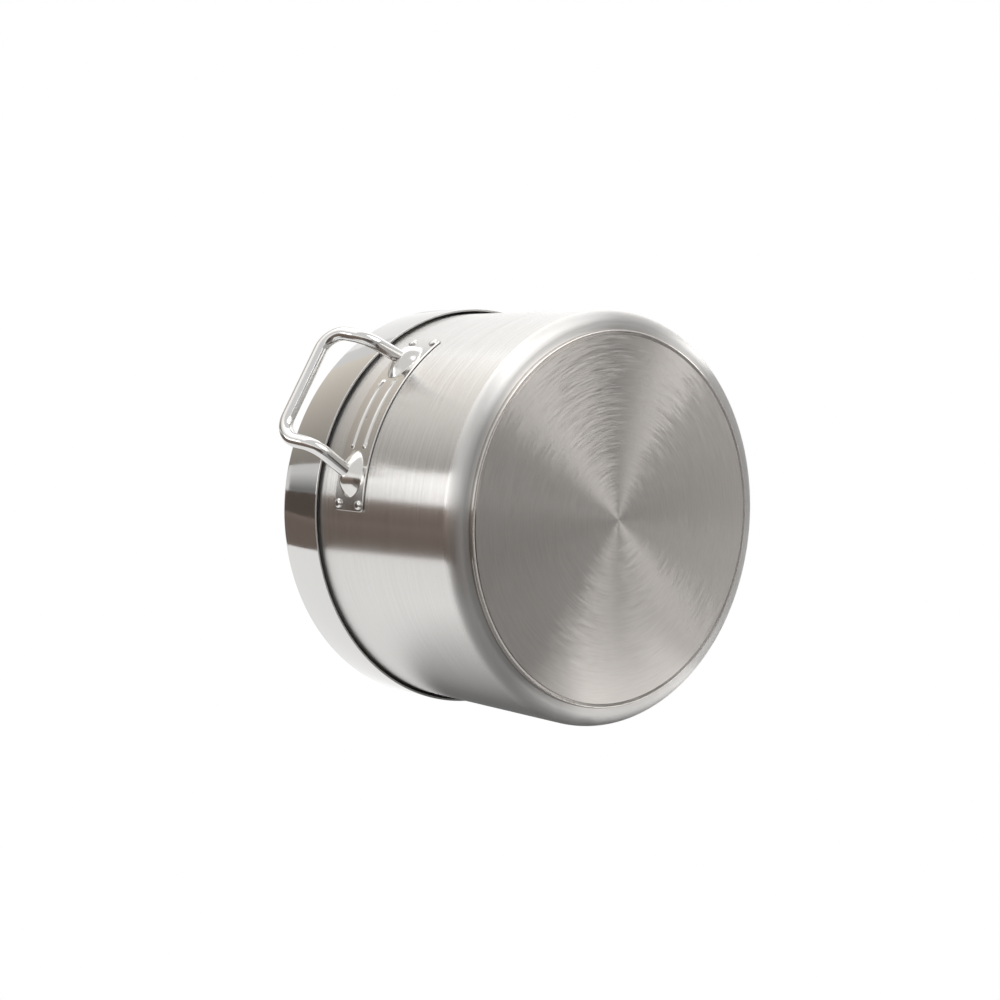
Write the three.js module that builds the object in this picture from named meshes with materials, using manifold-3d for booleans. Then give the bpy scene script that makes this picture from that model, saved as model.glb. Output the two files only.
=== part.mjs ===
// A stainless steel cooking pot: a drawn shell on an encapsulated base, two riveted side handles
// of bent rod, and a cap lid whose skirt drops over the rim, with a rod handle of its own.
// Millimetres, +Z up. The origin is the middle of the base, on the face that stands on the hob.
// The side handles lie on +X and -X, and the lid's handle runs along X.

import * as THREE from "three";
import { mergeVertices, toCreasedNormals } from "three/addons/utils/BufferGeometryUtils.js";
import Module from "manifold-3d";

const wasm = await Module();
wasm.setup();

// Clearances
const SEAT_GAP = 0.3; // between a piece and the curved or turned face that it sits on
const LID_SEAT_GAP = 0.3; // between the rim and the lid's ledge
const LID_CLEARANCE = 0.7; // between the rolled rim and the inside of the skirt
const CORE_CLEARANCE = 0.3; // between the core's edge and the cap's upturned rim
const HOLE_CLEARANCE = 0.3; // round a rivet's shank and round a rod in its boss
const BOSS_CLEARANCE = 1.3; // between a boss and the rivet heads at the strap's end
const RIB_CLEARANCE = 3; // between a rib's end and the boss

// Pot shell, drawn from one sheet
const POT_RADIUS = 120; // outside of the straight wall
const POT_HEIGHT = 160; // from the hob to the top of the rim
const POT_SHEET = 1;
const POT_CORNER = 8; // outside radius between the wall and the bottom
const RIM_PROUD = 1.5; // how far the rolled rim stands out of the wall
const RIM_DEPTH = 4.5; // height of the rolled rim

// Base: an aluminium disc held in a steel cap
const BASE_INSET = 3.5; // flat ring of the shell left bare round the cap
const BASE_EDGE = 1; // rounding of the cap's lower edge
const CAP_SHEET = 0.5;
const CORE_THICKNESS = 2;

// Side handles: a pressed strap, riveted on, that holds a bent rod
const HANDLE_DROP = 17; // from the skirt's lower edge down to the strap
const STRAP_LENGTH = 118; // along the wall
const STRAP_WIDTH = 27;
const STRAP_SHEET = 1;
const STRAP_CORNER = 3;
const BOSS_LENGTH = 27;
const BOSS_WIDTH = 19.5;
const BOSS_RISE = 7;
const RIB_SPACING = 11; // between the middles of the two ribs
const RIB_RADIUS = 2;
const RIB_RISE = 1.3;
const ROD_RADIUS = 4;
const ROD_HEAD_LIP = 1.2; // how far the rod's upset head is wider than the rod
const ROD_HEAD_THICKNESS = 2;
const ELBOW_REACH = 25.5; // from the wall to the corner where the legs turn up
const ELBOW_BEND = 12; // radius of the rod's middle line
const GRIP_RISE = 26; // from the legs up to the grip
const GRIP_WIDTH = 70; // between the middle lines of the two risers
const GRIP_LEAN = THREE.MathUtils.degToRad(18); // of the risers, out of the vertical
const GRIP_BEND = 13;

// Rivets
const RIVET_INSET = 4; // from the strap's end and edges to a rivet
const RIVET_SHANK = 1.5; // radius
const RIVET_HEAD = 2.8; // radius
const RIVET_HEAD_RISE = 1.5;
const RIVET_TAIL_RISE = 0.8;

// Lid: a cap with a ledge, a raised panel and a flat seat for its handle
const LID_SHEET = 0.8;
const SKIRT_DEPTH = 34.3; // below the lid's ledge
const LID_CORNER = 3; // outside radius between the skirt and the ledge
const LEDGE_WIDTH = 14; // flat ring inside the corner
const STEP_RUN = 11; // from the ledge in to the raised panel
const STEP_RISE = 7;
const PANEL_RISE = 2.5; // from the panel's edge up to its flat seat
const LID_SEAT_MARGIN = 10; // flat seat left bare past the strap's ends

// Lid handle
const LID_STRAP_LENGTH = 100;
const LID_STRAP_WIDTH = 24;
const LID_STRAP_SHEET = 1;
const LID_STRAP_CORNER = 3;
const LID_BOSS_LENGTH = 22;
const LID_BOSS_WIDTH = 17;
const LID_BOSS_RISE = 6;
const LID_RIB_SPACING = 10;
const LID_ROD_RADIUS = 4;
const LID_GRIP_RISE = 34; // from the lid's seat up to the middle of the grip
const LID_GRIP_BEND = 13;

// Facets
const ROUND_SIDES = 60; // of the pot and the lid
const RIVET_SIDES = 8;
const ROD_SIDES = 10;
const ROD_STEPS = 46;
const RIB_SIDES = 8;
const RIB_STEPS = 8;
const EGG_SIDES = 16;
const EGG_RINGS = 8;
const WIDE_ARC = 2; // pairs of edges in the shell's corner and the strap's ends
const TIGHT_ARC = 1; // pairs of edges in a small rounding
const STRAP_STEPS = 12; // edges along a side strap
const CREASE_ANGLE = Math.PI / 5; // faces that meet at less than this are shaded as one curve
const WELD_DISTANCE = 1e-4; // corners closer than this are one corner
const CUT_PAST = 2; // how far a cutter runs past the faces that it cuts

// Levels and radii that follow from the sizes
const shellFloor = CAP_SHEET + CORE_THICKNESS; // underside of the pot's bottom
const baseRadius = POT_RADIUS - POT_CORNER - BASE_INSET;
const lidInside = POT_RADIUS + RIM_PROUD + LID_CLEARANCE;
const lidOutside = lidInside + LID_SHEET;
const ledgeUnder = POT_HEIGHT + LID_SEAT_GAP;
const ledgeTop = ledgeUnder + LID_SHEET;
const skirtEdge = ledgeUnder - SKIRT_DEPTH;
const lidSeat = ledgeTop + STEP_RISE + PANEL_RISE; // top of the flat seat for the lid's handle
const handleLevel = skirtEdge - HANDLE_DROP - STRAP_WIDTH / 2;

const brushedSteel = new THREE.MeshStandardMaterial({ color: "#c4c1bd", metalness: 1, roughness: 0.38 });
const turnedSteel = new THREE.MeshStandardMaterial({ color: "#b9b6b3", metalness: 1, roughness: 0.34 });
const polishedSteel = new THREE.MeshStandardMaterial({ color: "#d2d0cd", metalness: 1, roughness: 0.08 });
const rodSteel = new THREE.MeshStandardMaterial({ color: "#cfcdca", metalness: 1, roughness: 0.16 });
const rivetSteel = new THREE.MeshStandardMaterial({ color: "#cbc8c4", metalness: 1, roughness: 0.22 });
const aluminium = new THREE.MeshStandardMaterial({ color: "#d6d7d9", metalness: 1, roughness: 0.45 });

// A closed geometry as a solid that can be cut and joined.
function solid(geometry) {
  const bare = geometry.clone();
  bare.deleteAttribute("normal");
  bare.deleteAttribute("uv");
  const merged = mergeVertices(bare, WELD_DISTANCE);
  const corners = merged.index.array;
  const kept = [];
  for (let i = 0; i < corners.length; i += 3) {
    const [a, b, c] = corners.slice(i, i + 3);
    if (a !== b && b !== c && c !== a) kept.push(a, b, c);
  }
  const vertProperties = merged.attributes.position.array;
  const triVerts = new Uint32Array(kept);
  return new wasm.Manifold(new wasm.Mesh({ numProp: 3, vertProperties, triVerts }));
}

// A named piece made of one solid.
function piece(name, body, material) {
  const mesh = body.getMesh();
  const geometry = new THREE.BufferGeometry();
  geometry.setAttribute("position", new THREE.BufferAttribute(mesh.vertProperties, 3));
  geometry.setIndex(new THREE.BufferAttribute(mesh.triVerts, 1));
  const made = new THREE.Mesh(toCreasedNormals(geometry, CREASE_ANGLE), material);
  made.name = name;
  return made;
}

// A profile of radius and height, turned about Z. It starts and ends on the axis.
function turned(profile, sides) {
  return new THREE.LatheGeometry(profile, sides).rotateX(Math.PI / 2);
}

// A line of points moved sideways to its left by the sheet's thickness.
function offsetLine(points, distance) {
  return points.map((point, i) => {
    const before = points[Math.max(i - 1, 0)];
    const after = points[Math.min(i + 1, points.length - 1)];
    const into = (i === 0 ? after.clone().sub(point) : point.clone().sub(before)).normalize();
    const out = (after === point ? into : after.clone().sub(point)).clone().normalize();
    const left = new THREE.Vector2(-into.y - out.y, into.x + out.x).normalize();
    const stretch = distance / Math.sqrt((1 + into.dot(out)) / 2);
    return point.clone().addScaledVector(left, stretch);
  });
}

// An arc in space that leaves its start point along `ahead`, both given from its centre.
class ArcCurve extends THREE.Curve {
  constructor(centre, start, ahead, sweep) {
    super();
    Object.assign(this, { centre, start, ahead, sweep });
  }

  getPoint(t, target = new THREE.Vector3()) {
    const angle = t * this.sweep;
    target.copy(this.centre).addScaledVector(this.start, Math.cos(angle));
    return target.addScaledVector(this.ahead, Math.sin(angle));
  }
}

// The middle line of a rod that runs straight between points and is bent at each inner one.
function bentPath(points, bends) {
  const path = new THREE.CurvePath();
  let from = points[0];
  bends.forEach((radius, i) => {
    const corner = points[i + 1];
    const into = corner.clone().sub(points[i]).normalize();
    const out = points[i + 2].clone().sub(corner).normalize();
    const sweep = into.angleTo(out);
    const tangent = radius * Math.tan(sweep / 2);
    const start = corner.clone().addScaledVector(into, -tangent);
    const inward = out.clone().addScaledVector(into, -out.dot(into)).normalize();
    const centre = start.clone().addScaledVector(inward, radius);
    path.add(new THREE.LineCurve3(from, start));
    path.add(new ArcCurve(centre, inward.multiplyScalar(-radius), into.multiplyScalar(radius), sweep));
    from = corner.clone().addScaledVector(out, tangent);
  });
  path.add(new THREE.LineCurve3(from, points.at(-1)));
  return path;
}

// A round bar along a path.
function bar(path, radius, sides, steps) {
  const section = new THREE.Shape().absarc(0, 0, radius, 0, 2 * Math.PI);
  return solid(new THREE.ExtrudeGeometry(section, { steps, curveSegments: sides / 2, extrudePath: path }));
}

// A rib along a path, with a ball on each end.
function roundEnded(path, steps) {
  let rib = bar(path, RIB_RADIUS, RIB_SIDES, steps);
  for (const end of [0, 1]) {
    const ball = new THREE.SphereGeometry(RIB_RADIUS, RIB_SIDES, RIB_SIDES / 2);
    rib = rib.add(solid(ball.translate(...path.getPoint(end).toArray())));
  }
  return rib;
}

// A round plug along X, centred on the origin.
function plug(radius, length, sides) {
  return new THREE.CylinderGeometry(radius, radius, length, sides).rotateZ(Math.PI / 2);
}

// A handle is drawn with +X out of what it is fixed to, +Y along its strap and +Z across it.
// A place turns a distance along and across the strap into a frame on the strap's seat.
function curvedPlace(radius) {
  return (along, across) => {
    const outwards = new THREE.Matrix4().makeTranslation(radius, 0, across);
    return new THREE.Matrix4().makeRotationZ(along / radius).multiply(outwards);
  };
}

function flatPlace(level) {
  return (along, across) => new THREE.Matrix4().makeTranslation(level, along, across);
}

// A rounded rectangle in the plane of the strap, run along X.
function roundedBlock(length, width, corner, from, to) {
  const [y, z] = [length / 2 - corner, width / 2 - corner];
  const outline = new THREE.Shape();
  outline.absarc(y, z, corner, 0, Math.PI / 2);
  outline.absarc(-y, z, corner, Math.PI / 2, Math.PI);
  outline.absarc(-y, -z, corner, Math.PI, 1.5 * Math.PI);
  outline.absarc(y, -z, corner, 1.5 * Math.PI, 2 * Math.PI);
  const run = { depth: to - from, bevelEnabled: false, curveSegments: WIDE_ARC };
  const block = new THREE.ExtrudeGeometry(outline, run);
  return solid(block.rotateX(Math.PI / 2).rotateZ(Math.PI / 2).translate(from, 0, 0));
}

// The dome of a boss, on a seat frame: an egg of the boss's length, width and rise.
function egg(length, width, rise, frame) {
  const ball = new THREE.SphereGeometry(1, EGG_SIDES, EGG_RINGS);
  return solid(ball.scale(rise, length / 2, width / 2).applyMatrix4(frame));
}

// Presses hollow bosses and ribs into a plate and makes its holes. `under` is the space below the
// plate's mid-face, where a dome has no metal.
function pressedStrap(plate, under, strap) {
  let body = plate;
  for (const side of [-1, 1]) {
    const frame = strap.place(side * strap.bossAlong, 0);
    body = body.add(egg(strap.bossLength, strap.bossWidth, strap.bossRise, frame).subtract(under));
  }
  for (const rib of strap.ribs) body = body.add(rib.subtract(under));
  const pressing = 2 * strap.sheet;
  for (const side of [-1, 1]) {
    const frame = strap.place(side * strap.bossAlong, 0);
    body = body.subtract(
      egg(strap.bossLength - pressing, strap.bossWidth - pressing, strap.bossRise - strap.sheet, frame),
    );
  }
  for (const leg of strap.legs) {
    body = body.subtract(bar(leg, strap.rodRadius + HOLE_CLEARANCE, ROD_SIDES, 1));
  }
  for (const frame of strap.rivetFrames) body = body.subtract(rivetHole(frame, strap.sheet));
  return body;
}

// The cutter of a rivet's hole, from the strap's face down through a depth of sheets.
function rivetHole(frame, depth) {
  const cutter = plug(RIVET_SHANK + HOLE_CLEARANCE, 2 * (depth + CUT_PAST), RIVET_SIDES);
  return solid(cutter.applyMatrix4(frame));
}

// A rivet along X: a domed head on the strap, a shank through the sheets and a flat tail inside.
function rivet(grip) {
  const profile = new THREE.Path();
  profile.moveTo(0, -grip - RIVET_TAIL_RISE);
  profile.lineTo(RIVET_HEAD, -grip - RIVET_TAIL_RISE);
  profile.lineTo(RIVET_HEAD, -grip);
  profile.lineTo(RIVET_SHANK, -grip);
  profile.lineTo(RIVET_SHANK, 0);
  profile.lineTo(RIVET_HEAD, 0);
  profile.absellipse(0, 0, RIVET_HEAD, RIVET_HEAD_RISE, 0, Math.PI / 2);
  const upright = turned(profile.getPoints(TIGHT_ARC), RIVET_SIDES);
  return solid(upright.rotateY(Math.PI / 2).translate(SEAT_GAP, 0, 0));
}

// The four corners of a strap, where its rivets go.
const CORNERS = { front_low: [-1, -1], front_high: [-1, 1], back_low: [1, -1], back_high: [1, 1] };

function cornerFrames(place, along, across) {
  return Object.values(CORNERS).map(([y, z]) => place(y * along, z * across));
}

function addRivets(group, prefix, frames, grip) {
  Object.keys(CORNERS).forEach((corner, i) => {
    const made = piece(`${prefix}_rivet_${corner}`, rivet(grip), rivetSteel);
    made.applyMatrix4(frames[i]);
    group.add(made);
  });
}

// Pot shell, with its rivet holes
const strapInside = POT_RADIUS + SEAT_GAP;
const strapOutside = strapInside + STRAP_SHEET;
const strapPlace = curvedPlace(strapOutside);
const rivetAlong = STRAP_LENGTH / 2 - RIVET_INSET;
const rivetAcross = STRAP_WIDTH / 2 - RIVET_INSET;
const strapRivets = cornerFrames(strapPlace, rivetAlong, rivetAcross);

function sideFrame(side) {
  return new THREE.Matrix4()
    .makeTranslation(0, 0, handleLevel)
    .multiply(new THREE.Matrix4().makeRotationZ(side > 0 ? 0 : Math.PI));
}

function potShell() {
  const wall = new THREE.Path();
  wall.moveTo(0, shellFloor);
  wall.lineTo(POT_RADIUS - POT_CORNER, shellFloor);
  wall.absarc(POT_RADIUS - POT_CORNER, shellFloor + POT_CORNER, POT_CORNER, -Math.PI / 2, 0);
  wall.lineTo(POT_RADIUS, POT_HEIGHT);
  const outside = wall.getPoints(WIDE_ARC);
  const inside = offsetLine(outside, POT_SHEET).reverse();
  const roll = new THREE.Path();
  const rollFoot = POT_HEIGHT - RIM_DEPTH + RIM_PROUD;
  roll.absarc(POT_RADIUS, rollFoot, RIM_PROUD, -Math.PI / 2, 0);
  roll.absarc(POT_RADIUS, POT_HEIGHT - RIM_PROUD, RIM_PROUD, 0, Math.PI / 2);
  const profile = [...outside.slice(0, -1), ...roll.getPoints(TIGHT_ARC), ...inside];
  let body = solid(turned(profile, ROUND_SIDES));
  for (const side of [1, -1]) {
    for (const frame of strapRivets) {
      body = body.subtract(rivetHole(sideFrame(side).multiply(frame), STRAP_SHEET + SEAT_GAP + POT_SHEET));
    }
  }
  return piece("pot_shell", body, brushedSteel);
}

// Base cap and the core inside it
function baseCap() {
  const face = new THREE.Path();
  face.moveTo(0, 0);
  face.lineTo(baseRadius - BASE_EDGE, 0);
  face.absarc(baseRadius - BASE_EDGE, BASE_EDGE, BASE_EDGE, -Math.PI / 2, 0);
  face.lineTo(baseRadius, shellFloor);
  const outside = face.getPoints(TIGHT_ARC);
  const inside = offsetLine(outside, CAP_SHEET).reverse();
  return piece("base_cap", solid(turned([...outside, ...inside], ROUND_SIDES)), turnedSteel);
}

function baseCore() {
  const radius = baseRadius - CAP_SHEET - CORE_CLEARANCE;
  const profile = [
    new THREE.Vector2(0, CAP_SHEET),
    new THREE.Vector2(radius - BASE_EDGE, CAP_SHEET),
    new THREE.Vector2(radius, CAP_SHEET + BASE_EDGE),
    new THREE.Vector2(radius, shellFloor),
    new THREE.Vector2(0, shellFloor),
  ];
  return piece("base_core", solid(turned(profile, ROUND_SIDES)), aluminium);
}

// Side handle strap. A leg starts in the hollow of its boss and runs out to the elbow.
const bossAlong = rivetAlong - RIVET_HEAD - BOSS_CLEARANCE - BOSS_LENGTH / 2;
const legAcross = (strapOutside + BOSS_RISE / 2) * Math.sin(bossAlong / strapOutside);
const headEdge = legAcross - ROD_RADIUS - ROD_HEAD_LIP;
const headMiddle = Math.sqrt(POT_RADIUS ** 2 - headEdge ** 2) + SEAT_GAP + ROD_HEAD_THICKNESS / 2;

function sideLeg(side) {
  const elbow = new THREE.Vector3(POT_RADIUS + ELBOW_REACH, (side * GRIP_WIDTH) / 2, 0);
  return new THREE.LineCurve3(new THREE.Vector3(headMiddle, side * legAcross, 0), elbow);
}

function sideRib(across) {
  const half = (bossAlong - BOSS_LENGTH / 2 - RIB_CLEARANCE) / strapOutside;
  const radius = strapOutside + RIB_RISE - RIB_RADIUS;
  const start = new THREE.Vector3(radius, 0, 0).applyAxisAngle(new THREE.Vector3(0, 0, 1), -half);
  const ahead = new THREE.Vector3(-start.y, start.x, 0);
  const path = new ArcCurve(new THREE.Vector3(0, 0, across), start, ahead, 2 * half);
  return roundEnded(path, RIB_STEPS);
}

function sideStrap(name) {
  const half = STRAP_LENGTH / 2 / strapOutside;
  const sector = new THREE.Shape();
  sector.absarc(0, 0, strapOutside, -half, half, false);
  sector.absarc(0, 0, strapInside, half, -half, true);
  const run = { depth: STRAP_WIDTH, bevelEnabled: false, curveSegments: STRAP_STEPS };
  const band = new THREE.ExtrudeGeometry(sector, run);
  const reach = 2 * strapOutside * Math.sin(half);
  const outline = roundedBlock(reach, STRAP_WIDTH, STRAP_CORNER, strapOutside / 2, 2 * strapOutside);
  const plate = solid(band.translate(0, 0, -STRAP_WIDTH / 2)).intersect(outline);
  const midFace = strapInside + STRAP_SHEET / 2;
  const core = new THREE.CylinderGeometry(midFace, midFace, 2 * STRAP_WIDTH, 2 * ROUND_SIDES);
  const body = pressedStrap(plate, solid(core.rotateX(Math.PI / 2)), {
    place: strapPlace,
    sheet: STRAP_SHEET,
    bossAlong,
    bossLength: BOSS_LENGTH,
    bossWidth: BOSS_WIDTH,
    bossRise: BOSS_RISE,
    legs: [sideLeg(-1), sideLeg(1)],
    rodRadius: ROD_RADIUS,
    ribs: [sideRib(-RIB_SPACING / 2), sideRib(RIB_SPACING / 2)],
    rivetFrames: strapRivets,
  });
  return piece(name, body, polishedSteel);
}

// A rod bent through points, with an upset head on each end that its boss holds.
function headedRod(points, bends, radius) {
  let body = bar(bentPath(points, bends), radius, ROD_SIDES, ROD_STEPS);
  for (const end of [points[0], points.at(-1)]) {
    const head = plug(radius + ROD_HEAD_LIP, ROD_HEAD_THICKNESS, ROD_SIDES);
    body = body.add(solid(head.translate(...end.toArray())));
  }
  return body;
}

// Side handle rod: the legs run straight out, turn up at the elbows and lean out to the grip.
function sideRod(name) {
  const riser = GRIP_RISE / Math.cos(GRIP_LEAN);
  const elbowTangent = ELBOW_BEND * Math.tan((Math.PI / 2 - GRIP_LEAN) / 2);
  const gripBend = Math.min(GRIP_BEND, riser - elbowTangent - ROD_RADIUS / 2);
  const leg = sideLeg(1);
  const upAndOut = new THREE.Vector3(GRIP_RISE * Math.tan(GRIP_LEAN), 0, GRIP_RISE);
  const half = [leg.v1, leg.v2, leg.v2.clone().add(upAndOut)];
  const other = half.map((point) => point.clone().setY(-point.y)).reverse();
  const bends = [ELBOW_BEND, gripBend, gripBend, ELBOW_BEND];
  return piece(name, headedRod([...half, ...other], bends, ROD_RADIUS), rodSteel);
}

function sideHandle(prefix, side) {
  const handle = new THREE.Group();
  handle.add(sideStrap(`${prefix}_handle_strap`), sideRod(`${prefix}_handle_rod`));
  const corners = cornerFrames(strapPlace, side * rivetAlong, rivetAcross);
  addRivets(handle, prefix, corners, STRAP_SHEET + POT_SHEET + 3 * SEAT_GAP);
  handle.applyMatrix4(sideFrame(side));
  return handle;
}

// Lid shell, with its rivet holes
const lidRivetAlong = LID_STRAP_LENGTH / 2 - RIVET_INSET;
const lidRivetAcross = LID_STRAP_WIDTH / 2 - RIVET_INSET;
const lidPlateTop = SEAT_GAP + LID_STRAP_SHEET;
const lidPlace = flatPlace(lidPlateTop);
const lidRivets = cornerFrames(lidPlace, lidRivetAlong, lidRivetAcross);
const lidFrame = new THREE.Matrix4()
  .makeTranslation(0, 0, lidSeat)
  .multiply(
    new THREE.Matrix4().makeBasis(
      new THREE.Vector3(0, 0, 1),
      new THREE.Vector3(1, 0, 0),
      new THREE.Vector3(0, 1, 0),
    ),
  );

function lidShell() {
  const corner = lidOutside - LID_CORNER;
  const stepFoot = corner - LEDGE_WIDTH;
  const stepHead = stepFoot - STEP_RUN;
  const panelEdge = ledgeTop + STEP_RISE;
  const stepTurn = 2 * Math.atan2(STEP_RISE, STEP_RUN); // the step is two equal arcs
  const stepBend = STEP_RUN / 2 / Math.sin(stepTurn);
  const seatEdge = LID_STRAP_LENGTH / 2 + LID_SEAT_MARGIN;
  const top = new THREE.Path();
  top.moveTo(lidOutside, skirtEdge);
  top.lineTo(lidOutside, ledgeTop - LID_CORNER);
  top.absarc(corner, ledgeTop - LID_CORNER, LID_CORNER, 0, Math.PI / 2);
  top.lineTo(stepFoot, ledgeTop);
  top.absarc(stepFoot, ledgeTop + stepBend, stepBend, -Math.PI / 2, -Math.PI / 2 - stepTurn, true);
  top.absarc(stepHead, panelEdge - stepBend, stepBend, Math.PI / 2 - stepTurn, Math.PI / 2, false);
  top.lineTo(seatEdge, lidSeat);
  top.lineTo(0, lidSeat);
  const outside = top.getPoints(TIGHT_ARC);
  const inside = offsetLine(outside, LID_SHEET).reverse();
  let body = solid(turned([...inside, ...outside], ROUND_SIDES));
  for (const frame of lidRivets) {
    body = body.subtract(rivetHole(lidFrame.clone().multiply(frame), LID_STRAP_SHEET + SEAT_GAP + LID_SHEET));
  }
  return piece("lid_shell", body, polishedSteel);
}

// Lid handle: the same strap and rod, laid flat
const lidBossAlong = lidRivetAlong - RIVET_HEAD - BOSS_CLEARANCE - LID_BOSS_LENGTH / 2;
const lidHeadMiddle = SEAT_GAP + ROD_HEAD_THICKNESS / 2;

function lidLeg(side) {
  const foot = new THREE.Vector3(lidHeadMiddle, side * lidBossAlong, 0);
  return new THREE.LineCurve3(foot, foot.clone().setX(LID_GRIP_RISE));
}

function lidRib(across) {
  const half = lidBossAlong - LID_BOSS_LENGTH / 2 - RIB_CLEARANCE;
  const level = lidPlateTop + RIB_RISE - RIB_RADIUS;
  const ends = [new THREE.Vector3(level, -half, across), new THREE.Vector3(level, half, across)];
  return roundEnded(new THREE.LineCurve3(...ends), 1);
}

function lidStrap() {
  const plate = roundedBlock(LID_STRAP_LENGTH, LID_STRAP_WIDTH, LID_STRAP_CORNER, SEAT_GAP, lidPlateTop);
  const midFace = SEAT_GAP + LID_STRAP_SHEET / 2;
  const below = new THREE.BoxGeometry(2 * LID_BOSS_RISE, 2 * LID_STRAP_LENGTH, 2 * LID_STRAP_WIDTH);
  const body = pressedStrap(plate, solid(below.translate(midFace - LID_BOSS_RISE, 0, 0)), {
    place: lidPlace,
    sheet: LID_STRAP_SHEET,
    bossAlong: lidBossAlong,
    bossLength: LID_BOSS_LENGTH,
    bossWidth: LID_BOSS_WIDTH,
    bossRise: LID_BOSS_RISE,
    legs: [lidLeg(-1), lidLeg(1)],
    rodRadius: LID_ROD_RADIUS,
    ribs: [lidRib(-LID_RIB_SPACING / 2), lidRib(LID_RIB_SPACING / 2)],
    rivetFrames: lidRivets,
  });
  return piece("lid_handle_strap", body, polishedSteel);
}

function lidRod() {
  const [first, last] = [lidLeg(1), lidLeg(-1)];
  const points = [first.v1, first.v2, last.v2, last.v1];
  const body = headedRod(points, [LID_GRIP_BEND, LID_GRIP_BEND], LID_ROD_RADIUS);
  return piece("lid_handle_rod", body, rodSteel);
}

function lidHandle() {
  const handle = new THREE.Group();
  handle.add(lidStrap(), lidRod());
  addRivets(handle, "lid", lidRivets, LID_STRAP_SHEET + LID_SHEET + 3 * SEAT_GAP);
  handle.applyMatrix4(lidFrame);
  return handle;
}

const lid = new THREE.Group();
lid.add(lidShell(), lidHandle());

const cookingPot = new THREE.Group();
cookingPot.name = "cooking_pot";
cookingPot.add(baseCap(), baseCore(), potShell(), sideHandle("right", 1), sideHandle("left", -1), lid);

export default cookingPot;
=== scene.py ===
# %% [markdown]
# This lesson dresses a stainless steel cooking pot: a brushed wall on a turned base, two riveted
# handles of bent bar, and a mirror-polished cap lid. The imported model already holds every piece
# at its real size, so the scene only gives each one a finer skin and a finish. Everything is in
# metres, in the model's own frame: +Z is up and the middle of the base is the origin.

# %% Load the frame
import math

import bmesh
import bpy
from mathutils import Matrix, Vector


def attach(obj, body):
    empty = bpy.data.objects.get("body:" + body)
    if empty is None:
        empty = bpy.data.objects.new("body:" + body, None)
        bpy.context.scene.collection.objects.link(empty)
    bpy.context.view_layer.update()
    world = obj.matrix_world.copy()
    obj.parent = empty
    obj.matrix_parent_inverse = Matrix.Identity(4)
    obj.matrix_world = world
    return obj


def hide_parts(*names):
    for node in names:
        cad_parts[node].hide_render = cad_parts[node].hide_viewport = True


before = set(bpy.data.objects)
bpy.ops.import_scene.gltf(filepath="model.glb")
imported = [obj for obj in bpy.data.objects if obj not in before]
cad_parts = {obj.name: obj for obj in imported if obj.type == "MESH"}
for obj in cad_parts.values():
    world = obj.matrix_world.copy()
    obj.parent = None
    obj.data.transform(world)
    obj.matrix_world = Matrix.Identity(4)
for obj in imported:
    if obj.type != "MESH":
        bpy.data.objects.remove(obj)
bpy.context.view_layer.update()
MM = 0.001
scene = bpy.context.scene

# %% [markdown]
# The photograph looks up at the base of a pot that lies on its side. The pot stands upright in
# this frame, so the camera goes below it instead, and is rolled until the side that was up in
# the picture is up again. A look-at matrix needs three things: a place, an aim and a direction
# that is up in the picture. The lens is long, so the base stays nearly a true circle.

# %% The camera
CAMERA_PLACE = Vector((633.85, -270.32, -704.32)) * MM
CAMERA_AIM = Vector((37.8, -10.9, 60.0)) * MM
PICTURE_UP = math.radians(59.5)  # azimuth of the side of the pot that is up in the picture
CAMERA_LENS = 61.87  # on Blender's sensor, 36 mm wide

camera = bpy.data.objects.new("camera", bpy.data.cameras.new("camera"))
camera.data.lens = CAMERA_LENS
back = (CAMERA_PLACE - CAMERA_AIM).normalized()
across = Vector((math.cos(PICTURE_UP), math.sin(PICTURE_UP), 0)).cross(back).normalized()
turn = Matrix((across, back.cross(across), back)).transposed()
camera.matrix_world = Matrix.Translation(CAMERA_PLACE) @ turn.to_4x4()
scene.collection.objects.link(camera)
scene.camera = camera
print("camera:", round((CAMERA_PLACE - CAMERA_AIM).length / MM), "mm from its aim")

# %% [markdown]
# Materials are node trees, and each of them needs the same small tools. One turns an sRGB hex
# colour, as a painter would write it, into the linear numbers that a shader works with. Another
# adds a node: settings go on the node itself, and each input gets a plain value or a link.

# %% Tools for materials
def linear(hex_colour):
    channels = [int(hex_colour[i : i + 2], 16) / 255 for i in (1, 3, 5)]
    return [c / 12.92 if c <= 0.04045 else ((c + 0.055) / 1.055) ** 2.4 for c in channels] + [1]


def add_node(tree, kind, inputs, **settings):
    node = tree.nodes.new(kind)
    for name, value in settings.items():
        setattr(node, name, value)
    for socket, value in inputs.items():
        if isinstance(value, bpy.types.NodeSocket):
            tree.links.new(value, node.inputs[socket])
        else:
            node.inputs[socket].default_value = value
    return node


def new_material(name):
    material = bpy.data.materials.new(name)
    material.use_nodes = True
    tree = material.node_tree
    return material, tree, tree.nodes["Principled BSDF"]


print("white is", linear("#ffffff"))

# %% [markdown]
# The wall is 18/10 stainless steel, belt-brushed while the pot turns. The grit leaves long fine
# scratches that run round the pot and never lie quite straight. They could be painted in a picture,
# but a noise that is stretched along them needs none. Its fine direction is the distance along the
# pot's profile, radius minus height, so the same lines run round the wall, the corner and the
# bottom. The same noise turns each scratch a little off its way round, which is its waver.

# %% Scratches that run round a turned piece
NOISE_LOW = 0.3  # a noise seldom goes below this
NOISE_HIGH = 0.7  # or above this
UP = (0, 0, 1)


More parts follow.
